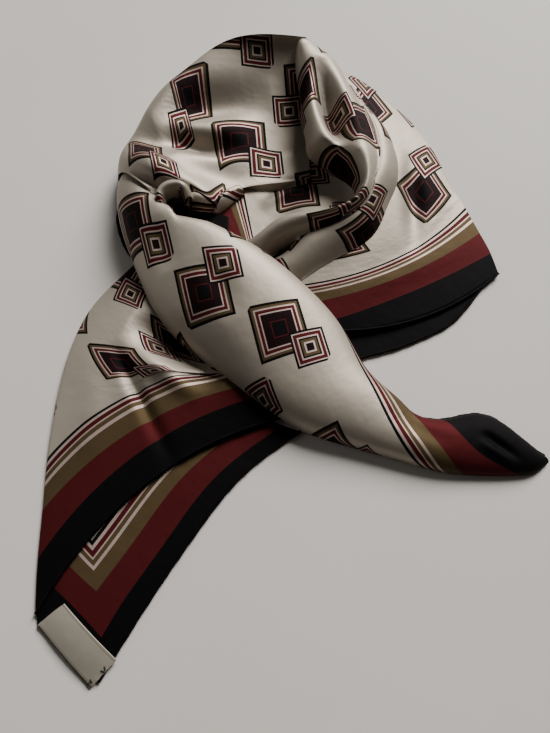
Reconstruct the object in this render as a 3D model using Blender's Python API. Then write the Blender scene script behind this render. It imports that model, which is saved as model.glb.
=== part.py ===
"""A silk square scarf dropped in a soft heap: a puffed crown, two nested loops, a rolled tail, two turned-back
panels with their under layers, and the folds hidden inside. All table sizes are millimetres."""

import bmesh
import bpy
import numpy as np
from mathutils import Vector
from mathutils.bvhtree import BVHTree

MM = 0.001

# Driving sizes
WALL = 1.3             # one layer of cloth
LAYER_GAP = 0.1        # air between layers that lie on each other
FEEL = 2.5             # how far round a point the layers below are felt
LABEL_WALL = 1.0       # the satin label
CORE_CLEAR = 1.3       # hidden folds below the cloth that covers them
CORE_TALLEST = 38.0    # highest point of the hidden folds
CORE_THINNEST = 1.0    # hidden folds at their edges
SEAT = 0.3             # gap left where one layer carries another
EYE_FLOOR = 12.0       # hidden folds where no cloth covers them
TAIL_CORE_INSET = 11.0 # hidden roll inside the tail's two edges
TAIL_CORE_RISE = 0.86  # its height as a share of the tail's
TABLE_CENTRE = (-5.0, 27.0)

# Every table has a row per section, from one end of the stretch to the other, with the columns
# (x, y, z of edge A, x, y, z of edge B, height at the middle, sideways bow of the middle).
FLAP_UNDER = (
    (-62, -40, 1.4, -3, -67, 1.4, 1.5, -2),
    (-92, -62, 1.4, -31, -86, 1.4, 1.8, -3),
    (-134, -95, 1.4, -60, -115, 1.4, 2.2, 0),
    (-159, -130, 1.4, -81, -144, 1.4, 1.8, -2),
    (-175, -160, 1.4, -100, -172, 1.4, 2.1, -1),
    (-181, -182, 1.4, -120, -204, 1.4, 1.6, 4),
    (-182, -195, 1.4, -133, -225, 1.4, 1.5, 1),
)
FLAP_LEFT = (
    (-135, 72, 2, -122, 62, 4, 6, -1),
    (-152, 52, 2, -101, 22, 7, 12, 0),
    (-169, 28, 2, -77, -9, 8, 16, 3),
    (-179, 0, 2, -60, -21, 8, 17, 2),
    (-185, -37, 2, -45, -34, 8, 15, 5),
    (-187, -88, 2, -33, -44, 8, 13, 23),
    (-186, -120, 2, -27, -53, 8, 10, 20),
    (-185, -156, 2, -20, -60, 7, 8, 25),
    (-183, -190, 2, -14, -70, 5, 6, 30),
)
PANEL_UNDER = (
    (150, 84, 1.4, 158, 63, 1.4, 1.5, 0),
    (129, 65, 1.4, 149, 56, 1.4, 1.8, 0),
    (115, 55, 1.4, 135, 39, 1.4, 2.0, 0),
    (98, 46, 1.4, 117, 20, 1.4, 1.7, 0),
    (77, 39, 1.4, 95, 8, 1.4, 2.1, 0),
    (55, 33, 1.4, 71, -2, 1.4, 1.8, 0),
    (37, 25, 1.4, 50, -7, 1.4, 1.6, 0),
)
PANEL_RIGHT = (
    (16, 271, 12, 36, 271, 8, 13, -1),
    (32, 232, 18, 62, 249, 6, 15, 4),
    (41, 197, 24, 86, 225, 5, 17, -1),
    (49, 155, 24, 114, 183, 4, 16, 5),
    (48, 118, 22, 128, 145, 3, 15, -3),
    (17, 75, 18, 134, 133, 3, 13, -15),
    (-3, 46, 14, 138, 123, 3, 11, -15),
    (9, 33, 11, 147, 99, 3, 9, -9),
    (22, 19, 8, 154, 80, 3, 6, -4),
    (26, 11, 6, 158, 62, 3, 3.6, -13),
)
BACK_LAYER = (
    (-157, 155, 10, -147, 153, 10, 10, 0),
    (-155, 134, 6, -145, 134, 6, 6, 0),
    (-154, 114, 4, -143, 115, 4, 4, 0),
    (-150, 98, 2, -138, 102, 2, 2, 0),
    (-143, 83, 2, -131, 88, 2, 2, 0),
    (-134, 70, 2, -125, 75, 2, 2, 0),
)
INNER_BOWL = (
    (-85, 116, 24, -67, 84, 16, 20, 2),
    (-72, 124, 26, -49, 74, 17, 21, 2),
    (-57, 146, 28, -39, 70, 17, 21, 0),
    (-33, 159, 24, -24, 70, 17, 21, 1),
    (-10, 166, 22, -2, 96, 24, 21, 1),
    (14, 172, 24, 21, 101, 25, 20, 1),
    (33, 170, 29, 36, 104, 28, 22, 2),
    (44, 155, 32, 43, 107, 31, 27, 0),
)
LOOP_OUTER = (
    (38, 232, 14, 52, 221, 9, 28, 0),
    (44, 203, 14, 62, 197, 9, 35, 0),
    (47, 181, 18, 74, 179, 9, 40, 0),
    (49, 153, 18, 80, 156, 9, 41, 0),
    (46, 132, 18, 78, 135, 9, 41, 0),
    (39, 115, 18, 69, 114, 9, 40, 0),
    (29, 103, 18, 59, 92, 9, 38, 0),
    (13, 95, 17, 39, 75, 8, 34, 0),
    (-4, 87, 15, 15, 61, 8, 31, 0),
    (-20, 79, 14, -3, 46, 7, 26, 0),
)
LOOP_INNER = (
    (3, 262, 24, 9, 284, 8, 38, 0),
    (3, 245, 30, 19, 268, 14, 50, 0),
    (3, 221, 32, 32, 251, 16, 54, 0),
    (4, 192, 34, 43, 225, 18, 57, 0),
    (5, 167, 34, 54, 193, 20, 58, 0),
    (8, 150, 34, 61, 160, 20, 57, 0),
    (25, 144, 34, 61, 142, 20, 56, 0),
    (39, 126, 32, 57, 126, 20, 53, 0),
    (38, 109, 30, 50, 106, 20, 50, 0),
    (24, 101, 28, 33, 92, 20, 47, 0),
    (1, 99, 26, 8, 83, 18, 44, 0),
    (-21, 96, 24, -12, 79, 17, 41, 0),
    (-29, 93, 23, -21, 78, 16, 38, 0),
)
TAIL = (
    (-143, 153, 10, -101, 135, 14, 34, 0),
    (-151, 132, 8, -106, 107, 12, 40, 0),
    (-148, 101, 4, -75, 90, 14, 46, 0),
    (-132, 60, 3, -32, 71, 12, 46, 0),
    (-107, 14, 3, 6, 40, 8, 40, 0),
    (-74, -15, 3, 30, 11, 5, 34, 0),
    (-40, -42, 3, 45, -17, 3, 29, 0),
    (-4, -66, 2, 60, -34, 2, 25, 0),
    (28, -77, 1, 72, -45, 1, 21, 0),
    (66, -88, 0.4, 83, -55, 0.4, 18, 0),
    (95, -96, 0.4, 102, -58, 0.4, 16, 0),
    (123, -99, 0.4, 124, -54, 0.4, 15, 0),
    (152, -99, 0.4, 146, -61, 0.4, 13, 0),
    (168, -96, 0.4, 164, -77, 0.4, 9, 0),
    (176, -90, 0.4, 174, -85, 0.4, 5, 0),
)
EYE_CURL = (
    (-115, 103, 18, -105, 105, 18, 28, 0),
    (-115, 115, 20, -107, 112, 18, 31, 0),
    (-111, 121, 24, -104, 114, 20, 35, 0),
    (-101, 124, 28, -99, 114, 24, 39, 0),
    (-91, 120, 30, -94, 110, 24, 41, 0),
    (-80, 114, 28, -90, 104, 22, 40, 0),
    (-71, 107, 26, -87, 101, 20, 37, 0),
)
CROWN = (
    (-153, 143, 8, -117, 108, 30, 42, 0),
    (-153, 161, 8, -104, 112, 34, 50, 0),
    (-147, 175, 8, -87, 112, 36, 53, 0),
    (-141, 188, 8, -72, 105, 36, 50, 0),
    (-125, 218, 8, -66, 112, 38, 57, 0),
    (-99, 257, 8, -54, 126, 40, 62, 0),
    (-64, 281, 8, -37, 126, 40, 61, 0),
    (-28, 289, 8, -16, 129, 38, 56, 0),
    (6, 288, 8, 6, 136, 30, 34, 0),
)
HEAP_CORE = (
    (-77, 277, 2, 10, 275, 2, 30, 0),
    (-120, 238, 2, 32, 240, 2, 40, 0),
    (-141, 201, 2, 52, 204, 2, 40, 0),
    (-146, 162, 2, 66, 167, 2, 40, 0),
    (-140, 122, 2, 62, 127, 2, 40, 0),
    (-128, 85, 2, 36, 91, 2, 40, 0),
    (-110, 52, 2, -12, 66, 2, 40, 0),
)
LABEL = (
    (-163, -184, 3.6, -125, -218, 3.6, 3.9, 0),
    (-168, -190, 3.6, -131, -224, 3.6, 3.8, 0),
    (-173, -196, 3.2, -136, -230, 3.0, 3.3, 0),
    (-179, -203, 1.4, -142, -236, 1.4, 1.8, 0),
)

# The largest folds: (layer, x, y of one end, x, y of the other, half width, height above the plain form)
FOLDS = (
    ("crown", -127, 162, -69, 160, 9, -6.0),
    ("crown", -41, 175, -21, 220, 11, -5.0),
    ("crown", -60, 139, -10, 143, 9, 2.5),
    ("flap_left", -138, -9, -91, -78, 6, 2.0),
    ("flap_left", -117, 9, -67, -24, 8, -4.0),
    ("flap_left", -132, -2, -87, -29, 6, 2.0),
    ("panel_right", 87, 152, 88, 78, 10, -4.0),
    ("panel_right", 63, 186, 114, 113, 12, 3.0),
    ("tail", -107, 80, -74, -4, 9, -3.0),
)

# name: (table, sections along, points across, round edge A, round edge B, names of the layers it lies on)
SHEETS = {
    "corner_under": (FLAP_UNDER, 15, 7, False, False, ()),
    "panel_under": (PANEL_UNDER, 13, 5, False, False, ()),
    "back_layer": (BACK_LAYER, 13, 4, False, False, ()),
    "flap_left": (FLAP_LEFT, 25, 15, True, False, ("corner_under", "back_layer")),
    "panel_right": (PANEL_RIGHT, 25, 13, False, True, ("panel_under",)),
    "inner_bowl": (INNER_BOWL, 19, 11, False, False, ("panel_right",)),
    "loop_outer": (LOOP_OUTER, 31, 11, True, True, ("panel_right", "inner_bowl")),
    "tail": (TAIL, 45, 13, True, True, ("corner_under", "panel_under", "back_layer", "flap_left",
                                        "panel_right", "inner_bowl", "loop_outer")),
    "eye_curl": (EYE_CURL, 15, 7, True, True, ("tail", "inner_bowl")),
    "crown": (CROWN, 31, 17, True, True, ("tail", "eye_curl", "inner_bowl", "back_layer")),
    "loop_inner": (LOOP_INNER, 39, 11, True, True, ("panel_right", "inner_bowl", "loop_outer", "crown",
                                                    "tail")),
}

# name: (base colour, roughness)
CLOTHS = {
    "cream silk": ((0.52, 0.49, 0.42), 0.38),
    "maroon silk": ((0.15, 0.018, 0.020), 0.40),
    "black silk": ((0.012, 0.011, 0.013), 0.42),
    "label satin": ((0.60, 0.58, 0.54), 0.45),
}
CLOTH_OF = {"corner_under": "maroon silk", "panel_under": "black silk", "back_layer": "black silk",
            "label": "label satin"}


def clear_scene():
    for obj in list(bpy.data.objects):
        bpy.data.objects.remove(obj, do_unlink=True)


def make_material(name):
    colour, roughness = CLOTHS[name]
    material = bpy.data.materials.new(name)
    material.use_nodes = True
    shader = material.node_tree.nodes["Principled BSDF"]
    shader.inputs["Base Color"].default_value = (*colour, 1.0)
    shader.inputs["Roughness"].default_value = roughness
    shader.inputs["Metallic"].default_value = 0.0
    return material


def smooth_rows(rows, count):
    """A natural cubic spline through the table's rows, read at evenly spaced places."""
    rows = np.array(rows, float)
    middles = (rows[:, 0:2] + rows[:, 3:5]) / 2
    steps = np.hypot(*(np.diff(middles, axis=0).T))
    steps = np.maximum(steps, steps.mean() * 0.4)
    places = np.concatenate([[0.0], np.cumsum(steps)])
    size = len(rows)
    system = np.eye(size)
    right = np.zeros_like(rows)
    for i in range(1, size - 1):
        system[i, i - 1:i + 2] = (steps[i - 1], 2 * (steps[i - 1] + steps[i]), steps[i])
        right[i] = 6 * ((rows[i + 1] - rows[i]) / steps[i] - (rows[i] - rows[i - 1]) / steps[i - 1])
    bend = np.linalg.solve(system, right)
    at = np.linspace(0.0, places[-1], count)
    k = np.clip(np.searchsorted(places, at, side="right") - 1, 0, size - 2)
    h = steps[k][:, None]
    left = (at - places[k])[:, None]
    rest = h - left
    return (bend[k] * rest ** 3 + bend[k + 1] * left ** 3) / (6 * h) + (
        rows[k] / h - bend[k] * h / 6) * rest + (rows[k + 1] / h - bend[k + 1] * h / 6) * left


def surface(rows, count, across, round_a, round_b):
    """The stretch's upper face as an array of points: one arched section after another."""
    table = smooth_rows(rows, count)[:, None, :]
    t = (0.5 - 0.5 * np.cos(np.linspace(0.0, np.pi, across)))[None, :, None]
    arch = 1 - (2 * t - 1) ** 2
    rounded = np.where(t < 0.5, round_a, round_b)
    lift = np.where(rounded, np.sqrt(arch), arch)
    chord = table[..., 3:6] - table[..., 0:3]
    length = np.hypot(chord[..., 0:1], chord[..., 1:2])
    sideways = np.concatenate([-chord[..., 1:2], chord[..., 0:1], 0 * length], axis=2) / length
    points = table[..., 0:3] + chord * t + sideways * table[..., 7:8] * arch
    middle = (table[..., 2:3] + table[..., 5:6]) / 2
    points[..., 2:3] += (table[..., 6:7] - middle) * lift
    return points


def press_folds(name, grid):
    """Adds this layer's ridges and troughs, fading out at its edges."""
    share = np.linspace(0.0, 1.0, grid.shape[1])[None, :]
    fade = np.minimum(1.0, 5 * np.minimum(share, 1 - share))
    for layer, x0, y0, x1, y1, half, height in FOLDS:
        if layer != name:
            continue
        run = np.array([x1 - x0, y1 - y0], float)
        off = grid[..., 0:2] - (x0, y0)
        along = np.clip(off @ run / (run @ run), 0.0, 1.0)
        away = np.linalg.norm(off - along[..., None] * run, axis=2)
        grid[..., 2] += height * fade * np.exp(-(away / half) ** 2)
    return grid


def faces_of(count, across, first=0):
    return [(first + i * across + j, first + (i + 1) * across + j,
             first + (i + 1) * across + j + 1, first + i * across + j + 1)
            for i in range(count - 1) for j in range(across - 1)]


def tree_of(surfaces):
    """One search tree for several point arrays."""
    points = []
    faces = []
    for grid in surfaces:
        faces += faces_of(*grid.shape[:2], first=len(points))
        points += [Vector(p) for p in grid.reshape(-1, 3)]
    return BVHTree.FromPolygons(points, faces) if points else None


def level(tree, x, y, from_above, otherwise):
    """The top of the layers near this place, or their underside when felt from below."""
    start, way = (500.0, -1.0) if from_above else (-50.0, 1.0)
    found = []
    for dx, dy in ((0, 0), (FEEL, 0), (-FEEL, 0), (0, FEEL), (0, -FEEL)):
        hit = tree.ray_cast(Vector((x + dx, y + dy, start)), Vector((0, 0, way)))[0]
        if hit is not None:
            found.append(hit.z)
    if not found:
        return otherwise
    return max(found) if from_above else min(found)


def spread(raised, rounds):
    """Softens the edges of a lifted region, never lowering it."""
    for _ in range(rounds):
        padded = np.pad(raised, 1, mode="edge")
        near = (padded[:-2, 1:-1] + padded[2:, 1:-1] + padded[1:-1, :-2] + padded[1:-1, 2:]) / 4
        raised = np.maximum(raised, near)
    return raised


def lowest_near(heights):
    """Each height replaced by the lowest of it and the eight around it."""
    padded = np.pad(heights, 1, mode="edge")
    rows, columns = heights.shape
    return np.min([padded[i:i + rows, j:j + columns] for i in range(3) for j in range(3)], axis=0)


def room(grid, tree):
    """The smallest distance from a stretch to the layers in the tree."""
    places = (grid, (grid[1:, 1:] + grid[:-1, :-1]) / 2, (grid[1:, :-1] + grid[:-1, 1:]) / 2)
    return min(tree.find_nearest(Vector(p))[3] for part in places for p in part.reshape(-1, 3))


def lie_on(grid, below):
    """Lifts a stretch clear of the layers that it lies on."""
    tree = tree_of(below)
    if tree is None:
        return grid
    raised = np.zeros(grid.shape[:2])
    for i in range(grid.shape[0]):
        for j in range(grid.shape[1]):
            x, y, z = grid[i, j]
            top = level(tree, x, y, True, -50.0)
            raised[i, j] = max(0.0, top + WALL + LAYER_GAP - z)
    lifted = grid.copy()
    lifted[..., 2] += spread(raised, 3)
    if raised.max() > 0:
        lifted[..., 2] -= room(lifted, tree) - WALL - SEAT
    return lifted


def mesh_object(name, points, faces, material):
    """An object of its own mesh, moved so that the table's centre is the origin."""
    shift = np.array([TABLE_CENTRE[0], TABLE_CENTRE[1], 0.0])
    mesh = bpy.data.meshes.new(name)
    mesh.from_pydata([tuple(p) for p in (points - shift) * MM], [], faces)
    mesh.materials.append(material)
    for polygon in mesh.polygons:
        polygon.use_smooth = True
    obj = bpy.data.objects.new(name, mesh)
    bpy.context.scene.collection.objects.link(obj)
    return obj


def cloth_object(name, grid, wall, material):
    """A stretch of cloth: its upper face with a wall grown inwards."""
    faces = faces_of(*grid.shape[:2])
    points = grid.reshape(-1, 3)
    obj = mesh_object(name, points, faces, material)
    up = sum(polygon.normal.z * polygon.area for polygon in obj.data.polygons)
    if up < 0:
        obj.data.flip_normals()
    solidify = obj.modifiers.new("wall", "SOLIDIFY")
    solidify.thickness = wall * MM
    solidify.offset = -1.0
    solidify.use_rim = True
    return obj


def filled_object(name, grid, material):
    """A rounded solid with a flat base: the upper face dropped straight down to the ground."""
    obj = mesh_object(name, grid.reshape(-1, 3), faces_of(*grid.shape[:2]), material)
    shape = bmesh.new()
    shape.from_mesh(obj.data)
    if sum(face.normal.z for face in shape.faces) < 0:
        bmesh.ops.reverse_faces(shape, faces=shape.faces)
    made = bmesh.ops.extrude_face_region(shape, geom=list(shape.faces), use_keep_orig=True)
    low = {v for v in made["geom"] if isinstance(v, bmesh.types.BMVert)}
    for vertex in low:
        vertex.co.z = 0.0
    bmesh.ops.recalc_face_normals(shape, faces=shape.faces)
    shape.to_mesh(obj.data)
    shape.free()
    return obj


def build():
    clear_scene()
    materials = {name: make_material(name) for name in CLOTHS}
    laid = {}
    for name, (rows, count, across, round_a, round_b, below) in SHEETS.items():
        grid = press_folds(name, surface(rows, count, across, round_a, round_b))
        laid[name] = lie_on(grid, [laid[other] for other in below])
    laid["label"] = surface(LABEL, 6, 4, False, False)
    for name, grid in laid.items():
        wall = LABEL_WALL if name == "label" else WALL
        cloth_object(name, grid, wall, materials[CLOTH_OF.get(name, "cream silk")])

    roof = tree_of([grid for name, grid in laid.items() if name != "label"])
    heap = surface(HEAP_CORE, 22, 19, True, True)
    inner = np.array(TAIL[4:], float)
    chord = inner[:, 3:5] - inner[:, 0:2]
    length = np.hypot(chord[:, 0], chord[:, 1])
    inner = inner[length > 2.6 * TAIL_CORE_INSET]
    chord = inner[:, 3:5] - inner[:, 0:2]
    step = chord / np.hypot(chord[:, 0], chord[:, 1])[:, None] * TAIL_CORE_INSET
    inner[:, 0:2] += step
    inner[:, 3:5] -= step
    inner[:, 2] = inner[:, 5] = 1.5
    inner[:, 6] *= TAIL_CORE_RISE
    roll = surface(inner, 23, 9, True, True)
    for name, grid in (("hidden_folds_heap", heap), ("hidden_folds_tail", roll)):
        for i in range(grid.shape[0]):
            for j in range(grid.shape[1]):
                x, y, z = grid[i, j]
                under = level(roof, x, y, False, EYE_FLOOR)
                z = min(z, under - WALL - CORE_CLEAR, CORE_TALLEST)
                while z > CORE_THINNEST and roof.find_nearest(Vector((x, y, z)), WALL + CORE_CLEAR)[0]:
                    z -= 0.5
                grid[i, j, 2] = max(z, CORE_THINNEST)
        grid[..., 2] = lowest_near(grid[..., 2])
        grid[..., 2] += room(grid, roof) - WALL - SEAT
        filled_object(name, grid, materials["cream silk"])


build()
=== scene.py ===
"""A silk square scarf, dropped in a soft heap on a pale surface. Lengths in the tables are millimetres."""

import bmesh
import bpy
import numpy as np
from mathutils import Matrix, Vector
from mathutils.bvhtree import BVHTree


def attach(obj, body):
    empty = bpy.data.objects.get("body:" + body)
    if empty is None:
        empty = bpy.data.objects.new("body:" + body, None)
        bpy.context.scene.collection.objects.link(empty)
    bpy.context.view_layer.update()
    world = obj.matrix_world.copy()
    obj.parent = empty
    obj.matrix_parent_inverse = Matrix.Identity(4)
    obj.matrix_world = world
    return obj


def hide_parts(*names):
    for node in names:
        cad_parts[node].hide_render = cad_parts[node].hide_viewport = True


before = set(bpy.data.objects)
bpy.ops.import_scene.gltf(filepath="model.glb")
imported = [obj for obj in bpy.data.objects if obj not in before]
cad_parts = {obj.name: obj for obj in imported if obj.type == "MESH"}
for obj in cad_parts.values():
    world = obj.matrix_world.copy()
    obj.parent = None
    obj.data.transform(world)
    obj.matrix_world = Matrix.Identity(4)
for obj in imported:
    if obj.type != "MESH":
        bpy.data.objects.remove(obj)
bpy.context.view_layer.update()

# ----------------------------------------------------------------------------------------------------------
# Corner under the left flap: one corner of the square, lying flat with its printed border showing. The silk
# is a light twill, screen printed. Its raw edge is rolled over and stitched down into a thin round hem.

MM = 0.001
TABLE_CENTRE = (-5.0, 27.0)                 # the place in the tables that is the frame's origin
SQUARE = 780.0                              # side of the square, hem to hem
CLOTH = 0.45                                # thickness drawn for one layer
REST = 0.05                                 # least gap between the cloth and the surface below it
HEM = 1.15                                  # radius of the rolled hem
HEM_SIDES = 10
HEM_RISE = 0.4                              # its middle above the cloth's edge, in radii
HEM_WAVES = ((0.12, 0.9), (0.08, 2.3))      # its unevenness: share of the radius, turn from point to point
LEAST_STEP = 0.4                            # shortest step between two sections, as a share of the mean one
TINY = 1e-9                                 # keeps a division from being by 0
SAME_PLACE = 1e-6                           # metres within which two points of a hem are one

# A stretch of cloth is a table with a row for each section, from one end to the other, and these columns.
EDGE_A = slice(0, 3)                        # x, y, z of one edge
EDGE_B = slice(3, 6)                        # x, y, z of the other edge
TOP = slice(6, 7)                           # height of the middle
BOW = slice(7, 8)                           # how far the middle goes sideways
PLACE = slice(8, 10)                        # the section's place on the flat square
WAY = slice(10, 11)                         # which way it runs there from A to B, in degrees

laid = {}                                   # each stretch's points, by its name


def smooth_rows(rows, count):
    """A natural cubic spline through the table's rows, read at evenly spaced places."""
    rows = np.array(rows, float)
    middles = (rows[:, EDGE_A] + rows[:, EDGE_B])[:, 0:2] / 2
    steps = np.hypot(*(np.diff(middles, axis=0).T))
    steps = np.maximum(steps, steps.mean() * LEAST_STEP)
    places = np.concatenate([[0.0], np.cumsum(steps)])
    size = len(rows)
    system = np.eye(size)
    right = np.zeros_like(rows)
    for i in range(1, size - 1):
        system[i, i - 1:i + 2] = (steps[i - 1], 2 * (steps[i - 1] + steps[i]), steps[i])
        right[i] = 6 * ((rows[i + 1] - rows[i]) / steps[i] - (rows[i] - rows[i - 1]) / steps[i - 1])
    bend = np.linalg.solve(system, right)
    at = np.linspace(0.0, places[-1], count)
    k = np.clip(np.searchsorted(places, at, side="right") - 1, 0, size - 2)
    h = steps[k][:, None]
    left = (at - places[k])[:, None]
    rest = h - left
    return (bend[k] * rest ** 3 + bend[k + 1] * left ** 3) / (6 * h) + (
        rows[k] / h - bend[k] * h / 6) * rest + (rows[k + 1] / h - bend[k + 1] * h / 6) * left


def arched(rows, along, across, round_a, round_b, anchor, fullness):
    """Points of a stretch, and their places on the flat square: one arched section after another. The table's
    place is that of the point at the share anchor of the section's length. A fullness under 0.5 flattens the
    top of a round section."""
    table = smooth_rows(rows, along)[:, None, :]
    edge_a = table[..., EDGE_A]
    edge_b = table[..., EDGE_B]
    t = (0.5 - 0.5 * np.cos(np.linspace(0.0, np.pi, across)))[None, :, None]
    arch = 1 - (2 * t - 1) ** 2
    rounded = np.where(t < 0.5, round_a, round_b)
    lift = np.where(rounded, arch ** fullness, arch)
    chord = edge_b - edge_a
    length = np.hypot(chord[..., 0:1], chord[..., 1:2])
    sideways = np.concatenate([-chord[..., 1:2], chord[..., 0:1], 0 * length], axis=2) / length
    points = edge_a + chord * t + sideways * table[..., BOW] * arch
    middle = (edge_a + edge_b)[..., 2:3] / 2
    points[..., 2:3] += (table[..., TOP] - middle) * lift
    steps = np.linalg.norm(np.diff(points, axis=1), axis=2)
    run = np.concatenate([0 * steps[:, :1], np.cumsum(steps, axis=1)], axis=1)
    run = (run - run[:, -1:] * anchor)[..., None]
    turn = np.radians(table[..., WAY])
    places = table[..., PLACE] + run * np.concatenate([np.cos(turn), np.sin(turn)], axis=2)
    return points, places


def faces_of(along, across, first=0):
    """The faces of a grid of points, which are numbered from first."""
    return [(first + i * across + j, first + (i + 1) * across + j,
             first + (i + 1) * across + j + 1, first + i * across + j + 1)
            for i in range(along - 1) for j in range(across - 1)]


def mapped_mesh(name, points, places):
    """A mesh through a grid of points, with their places on the flat square as its UV map."""
    shift = np.array([*TABLE_CENTRE, 0.0])
    corners = ((points - shift) * MM).reshape(-1, 3)
    mesh = bpy.data.meshes.new(name)
    mesh.from_pydata([tuple(corner) for corner in corners], [], faces_of(*points.shape[:2]))
    layer = mesh.uv_layers.new(name="square")
    flat = places.reshape(-1, 2) / SQUARE
    for loop in mesh.loops:
        layer.data[loop.index].uv = flat[loop.vertex_index]
    return mesh


def thick_sheet(name, points, places):
    """A stretch as an object, with its thickness grown down from the upper face."""
    mesh = mapped_mesh(name, points, places)
    mesh.shade_smooth()
    piece = bpy.data.objects.new(name, mesh)
    bpy.context.scene.collection.objects.link(piece)
    if sum(polygon.normal.z * polygon.area for polygon in mesh.polygons) < 0:
        mesh.flip_normals()
    wall = piece.modifiers.new("thickness", "SOLIDIFY")
    wall.thickness = CLOTH * MM
    wall.offset = -1.0
    bpy.ops.object.select_all(action="DESELECT")
    piece.select_set(True)
    bpy.context.view_layer.objects.active = piece
    bpy.ops.object.modifier_apply(modifier="thickness")
    return piece


def stretch(name, rows, along, across, rounds="", creases=(), below=(), anchor=0.5, fullness=0.5):
    """One stretch of cloth as an object, from along x across points. rounds names the edges that roll under,
    and below the stretches that it lies on."""
    points, places = arched(rows, along, across, "a" in rounds, "b" in rounds, anchor, fullness)
    tree = None
    if creases:
        press(points, creases)
    if below:
        tree = tree_of([laid[other] for other in below])
        lie_on(points, tree)
    points[..., 2] = np.maximum(points[..., 2], CLOTH + REST)
    laid[name] = points
    for side in rounds:
        points, places = turn_under(points, places, side, tree)
    return thick_sheet(name, points, places)


def linear(colour):
    """An sRGB hex colour as linear red, green, blue and alpha."""
    channels = [int(colour[i:i + 2], 16) / 255 for i in (1, 3, 5)]
    return (*[c / 12.92 if c <= 0.04045 else ((c + 0.055) / 1.055) ** 2.4 for c in channels], 1.0)


def add(nodes, kind, settings, inputs):
    """Adds one node, with its settings by name and its inputs as plain values or as other nodes' sockets."""
    made = nodes.new(kind)
    for key, value in settings.items():
        setattr(made, key, value)
    for key, value in inputs.items():
        if isinstance(value, bpy.types.NodeSocket):
            nodes.id_data.links.new(value, made.inputs[key])
        else:
            made.inputs[key].default_value = value
    return made


def bands(nodes, distance, reach, colours):
    """Hard bands of colour by a distance, on a ramp as long as reach. colours is a row of (where the band
    ends, its colour)."""
    share = add(nodes, "ShaderNodeMath", {"operation": "DIVIDE"}, {0: distance, 1: reach})
    ramp = add(nodes, "ShaderNodeValToRGB", {}, {"Fac": share.outputs["Value"]})
    stops = ramp.color_ramp
    stops.interpolation = "CONSTANT"
    stops.elements[0].color = linear(colours[0][1])
    stops.elements.remove(stops.elements[1])
    for (end, _), (_, colour) in zip(colours[:-1], colours[1:]):
        stops.elements.new(end / reach).color = linear(colour)
    return ramp.outputs["Color"]


def square_distance(nodes, place, centre=(0, 0, 0)):
    """How far out a place is from a centre, the same all along each side of a square round it."""
    away = add(nodes, "ShaderNodeVectorMath", {"operation": "SUBTRACT"}, {0: place, 1: centre})
    away = add(nodes, "ShaderNodeVectorMath", {"operation": "ABSOLUTE"}, {0: away.outputs["Vector"]})
    sides = add(nodes, "ShaderNodeSeparateXYZ", {}, {"Vector": away.outputs["Vector"]}).outputs
    further = add(nodes, "ShaderNodeMath", {"operation": "MAXIMUM"}, {0: sides["X"], 1: sides["Y"]})
    return further.outputs["Value"]


# Colours of the dyes, and the bands that they make: each band's end in mm, from the hem inwards on the border
# and from its centre outwards on a tile.
CREAM = "#A69C8F"
BLACK = "#0B090B"
MAROON = "#481618"
DARK_MAROON = "#190A0C"
TAUPE = "#50422D"
WHITE = "#AD9B92"
BORDER = ((18.5, BLACK), (36.0, MAROON), (45.3, TAUPE), (47.5, WHITE), (50.1, TAUPE), (51.2, WHITE),
          (54.2, MAROON), (56.2, WHITE), (58.5, BLACK), (64.0, CREAM))
LARGE_TILE = ((5.0, BLACK), (5.8, MAROON), (11.6, DARK_MAROON), (12.5, WHITE), (14.7, MAROON),
              (15.8, WHITE), (17.6, TAUPE), (19.5, BLACK))
SMALL_TILE = ((2.8, DARK_MAROON), (4.0, WHITE), (6.0, TAUPE), (7.2, BLACK), (8.2, WHITE), (10.6, MAROON),
              (11.5, WHITE), (13.2, BLACK))
LARGE_AT = (-5.5, 5.5, 0)    # the tiles' centres in a motif
SMALL_AT = (12.5, -12.5, 0)
TILE_REACH = 24.0            # both tiles' bands are drawn on this length, and cut off where the tile ends
REPEAT = 94.7                # between the motifs of a row, and twice the way from one row to the next
MOTIF_FREE = 98.0            # no motif's centre is nearer to a hem
WAVE_STEP = 2 * np.pi / 20   # how far apart a wave texture's bands are at scale 1


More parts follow.
